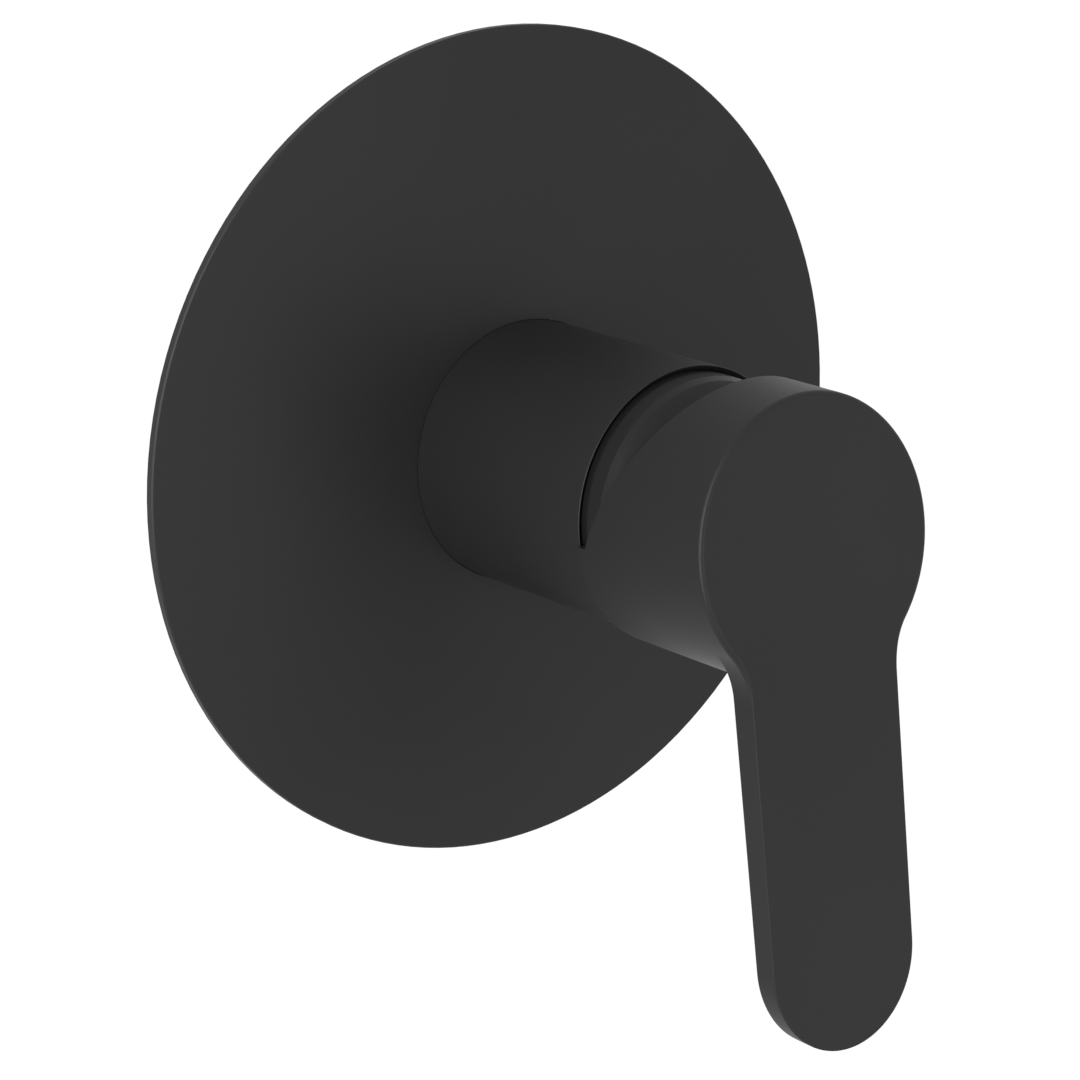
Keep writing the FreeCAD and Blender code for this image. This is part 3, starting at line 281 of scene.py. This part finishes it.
softFinishes = {
    "blackRubber": {"dark": (0.012, 0.012, 0.012), "light": (0.022, 0.022, 0.022),
                    "roughness": (0.55, 0.70), "scale": 1400, "depth": 0.00002},
    "greyFoam": {"dark": (0.030, 0.030, 0.031), "light": (0.075, 0.075, 0.077),
                 "roughness": (0.85, 0.95), "scale": 1600, "depth": 0.00015},
    "redFibre": {"dark": (0.22, 0.06, 0.035), "light": (0.36, 0.12, 0.07),
                 "roughness": (0.75, 0.9), "scale": 2200, "depth": 0.00006},
    "whitePlastic": {"dark": (0.62, 0.62, 0.58), "light": (0.70, 0.70, 0.66),
                     "roughness": (0.34, 0.46), "scale": 900, "depth": 0.000012},
    "greyPlastic": {"dark": (0.10, 0.104, 0.115), "light": (0.135, 0.14, 0.15),
                    "roughness": (0.38, 0.5), "scale": 900, "depth": 0.000015},
    "blackPlastic": {"dark": (0.014, 0.014, 0.0145), "light": (0.019, 0.019, 0.0195),
                     "roughness": (0.38, 0.48), "scale": 1500, "depth": 0.00001},
    "discCeramic": {"dark": (0.74, 0.71, 0.65), "light": (0.80, 0.77, 0.71),
                    "roughness": (0.10, 0.18), "scale": 500, "depth": 0.000004},
}


def makeSoftFinish(name):
    s = softFinishes[name]
    material, ns, links = newMaterial(name)
    shader = ns["Principled BSDF"]
    point = objectPoint(ns, links)
    grain = noise(ns, links, point, s["scale"])
    links.new(mixColours(ns, links, spread(ns, links, grain, 0, 1), s["dark"], s["light"]),
              shader.inputs["Base Color"])
    links.new(spread(ns, links, grain, *s["roughness"]), shader.inputs["Roughness"])
    links.new(bump(ns, links, grain, s["depth"]), shader.inputs["Normal"])
    return material


finishes = {name: makeSoftFinish(name) for name in softFinishes}
finishes["matteBlack"] = makeBlackFinish("matteBlackCoat")
# the cover ring's darker tone is painted shade of its recess
finishes["coverPaintedShadeBlack"] = makeBlackFinish("coverRingPaintedShadeBlack")
finishes["castBrass"] = makeCastBrass()
finishes["turnedBrass"] = makeTurnedBrass()
finishes["steel"] = makeSteel()
finishes["nutBrass"] = makeTurnedBrass("nutBrass", outerThreads["retaining_nut"])
finishes["plugBrass"] = makeTurnedBrass("plugBrass", outerThreads["blanking_plug"])
finishes["screwSteel"] = makeSteel("screwSteel", outerThreads["fixing_screws"])
finishes["grubSteel"] = makeSteel("grubSteel", outerThreads["grub_screw"])

wornBy = {
    "matteBlack": ["face_plate", "sleeve", "lever_handle"],
    "coverPaintedShadeBlack": ["cover_ring"],
    "castBrass": ["valve_body"],
    "turnedBrass": ["stem"],
    "nutBrass": ["retaining_nut"],
    "plugBrass": ["blanking_plug"],
    "steel": ["fixing_plate", "pivot_pin"],
    "screwSteel": ["fixing_screws"],
    "grubSteel": ["grub_screw"],
    "blackRubber": ["plate_seal", "sleeve_rings", "port_seals", "driver_ring"],
    "greyFoam": ["plate_gasket"],
    "redFibre": ["plug_washer"],
    "whitePlastic": ["rotating_driver", "disc_carrier"],
    "greyPlastic": ["cartridge_base", "cartridge_housing"],
    "blackPlastic": ["index_plug"],
    "discCeramic": ["moving_ceramic_disc", "fixed_ceramic_disc"],
}
for finish, names in wornBy.items():
    for name in names:
        nodes[name].data.materials.clear()
        nodes[name].data.materials.append(finishes[finish])
print("finishes on", sum(len(names) for names in wornBy.values()), "nodes")


# threads in the three open ports of the body

portThreads = {
    "wallRadius": 9.42 * mm,
    "ridge": 0.4 * mm,
    "widen": 1.3,
    "pitch": 1.81 * mm,
    "turns": 7,
    "steps": 40,
    "depth": 14.2 * mm,
    "mouths": {
        "hotThread": ((-35 * mm, 24 * mm, 0), (-1, 0, 0)),
        "coldThread": ((35 * mm, 24 * mm, 0), (1, 0, 0)),
        "showerThread": ((0, 24 * mm, 38 * mm), (0, 0, 1)),
    },
}


def windPortThread(name, mouth, outward):
    s = portThreads
    bpy.ops.object.select_all(action="DESELECT")
    centre = s["wallRadius"] - 0.42 * s["ridge"]
    bpy.ops.mesh.primitive_circle_add(vertices=3, radius=s["ridge"], location=(centre, 0, 0),
                                      rotation=(math.pi / 2, -math.pi / 2, 0))
    thread = bpy.context.object
    thread.name = name
    bpy.ops.object.transform_apply(location=True, rotation=True)
    bpy.ops.object.mode_set(mode="EDIT")
    bpy.ops.mesh.select_all(action="SELECT")
    bpy.ops.transform.resize(value=(1, 1, s["widen"]), center_override=(centre, 0, 0))
    bpy.ops.object.mode_set(mode="OBJECT")
    wind = thread.modifiers.new("wind", "SCREW")
    wind.axis = "Z"
    wind.screw_offset = s["pitch"]
    wind.iterations = s["turns"]
    wind.steps = s["steps"]
    wind.render_steps = s["steps"]
    bpy.ops.object.modifier_apply(modifier="wind")
    bpy.ops.object.mode_set(mode="EDIT")
    bpy.ops.mesh.select_all(action="SELECT")
    bpy.ops.mesh.remove_doubles(threshold=0.00001)
    bpy.ops.mesh.fill_holes(sides=3)
    bpy.ops.mesh.select_all(action="SELECT")
    bpy.ops.mesh.normals_make_consistent(inside=False)
    bpy.ops.object.mode_set(mode="OBJECT")
    bpy.ops.object.shade_smooth_by_angle(angle=math.radians(25))
    thread.rotation_euler = Vector(outward).to_track_quat("Z", "Y").to_euler()
    thread.location = Vector(mouth) - Vector(outward) * s["depth"]
    bpy.ops.object.transform_apply(location=True, rotation=True)
    thread.data.materials.append(finishes["turnedBrass"])
    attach(thread, "fixed")
    return thread


for name, (mouth, outward) in portThreads["mouths"].items():
    windPortThread(name, mouth, outward)
print("port threads wound")


# floor, lights and camera

studio = {
    "floorHeight": -1.1,
    "floorSize": 16,
    "floorColour": (0.3, 0.3, 0.3),
    "floorGlow": 0.88,
    "roomLevel": 0.48,
    "camera": {"azimuth": -37.84, "elevation": 15.78, "distance": 0.7,
               "target": (0.00875, 0, -0.02078), "lens": 120},
    "lamps": [
        {"name": "leftStrip", "place": (-1.35, -0.8, 0.3), "wide": 0.4, "tall": 2.0, "power": 34},
        {"name": "frontBox", "place": (0.3, -2.5, -0.3), "wide": 1.4, "tall": 1.4, "power": 12},
    ],
}


def seenDirectly(ns, links):
    # 1 for the rays that show a background: the camera's, and those in gloss and in glass
    path = ns.new("ShaderNodeLightPath")
    shown = calc(ns, links, "MAXIMUM", path.outputs["Is Camera Ray"], path.outputs["Is Glossy Ray"])
    return calc(ns, links, "MAXIMUM", shown, path.outputs["Is Transmission Ray"])


def makeFloorMaterial():
    # its own lit colour, with its shadow, and a glow on top that makes it as white as the room
    s = studio
    material, ns, links = newMaterial("paleFloor")
    shader = ns["Principled BSDF"]
    shader.inputs["Base Color"].default_value = (*s["floorColour"], 1)
    shader.inputs["Roughness"].default_value = 0.8
    shader.inputs["Specular IOR Level"].default_value = 0
    glow = ns.new("ShaderNodeEmission")
    links.new(calc(ns, links, "MULTIPLY", seenDirectly(ns, links), s["floorGlow"]), glow.inputs["Strength"])
    both = ns.new("ShaderNodeAddShader")
    links.new(shader.outputs[0], both.inputs[0])
    links.new(glow.outputs[0], both.inputs[1])
    links.new(both.outputs[0], ns["Material Output"].inputs["Surface"])
    return material


def makeRoom():
    # white where it is seen, and a softer light on everything
    s = studio
    room = bpy.data.worlds.new("softRoom")
    room.use_nodes = True
    ns, links = room.node_tree.nodes, room.node_tree.links
    level = calc(ns, links, "MULTIPLY", seenDirectly(ns, links), 1 - s["roomLevel"])
    links.new(calc(ns, links, "ADD", level, s["roomLevel"]), ns["Background"].inputs["Strength"])
    ns["Background"].inputs["Color"].default_value = (1, 1, 1, 1)
    return room


def buildStudio():
    s = studio
    bpy.ops.object.select_all(action="DESELECT")
    bpy.ops.mesh.primitive_plane_add(size=s["floorSize"], location=(0, 0, s["floorHeight"]))
    floor = bpy.context.object
    floor.name = "floor"
    floor.data.materials.append(makeFloorMaterial())
    bpy.context.scene.world = makeRoom()
    for lamp in s["lamps"]:
        light = bpy.data.lights.new(lamp["name"], "AREA")
        light.shape = "RECTANGLE"
        light.size = lamp["wide"]
        light.size_y = lamp["tall"]
        light.energy = lamp["power"]
        holder = bpy.data.objects.new(lamp["name"], light)
        bpy.context.collection.objects.link(holder)
        holder.location = lamp["place"]
        aim = Vector(s["camera"]["target"]) - Vector(lamp["place"])
        holder.rotation_euler = aim.to_track_quat("-Z", "Y").to_euler()


def placeCamera():
    s = studio["camera"]
    azimuth, elevation = math.radians(s["azimuth"]), math.radians(s["elevation"])
    back = Vector((math.sin(azimuth) * math.cos(elevation),
                   -math.cos(azimuth) * math.cos(elevation), math.sin(elevation)))
    camera = bpy.data.objects.new("camera", bpy.data.cameras.new("camera"))
    bpy.context.collection.objects.link(camera)
    camera.location = Vector(s["target"]) + back * s["distance"]
    camera.rotation_euler = (-back).to_track_quat("-Z", "Y").to_euler()
    camera.data.sensor_width = 36
    camera.data.lens = s["lens"]
    camera.data.clip_start = 0.01
    bpy.context.scene.camera = camera


buildStudio()
placeCamera()
bpy.context.scene.view_settings.view_transform = "Standard"
print("studio and camera ready")
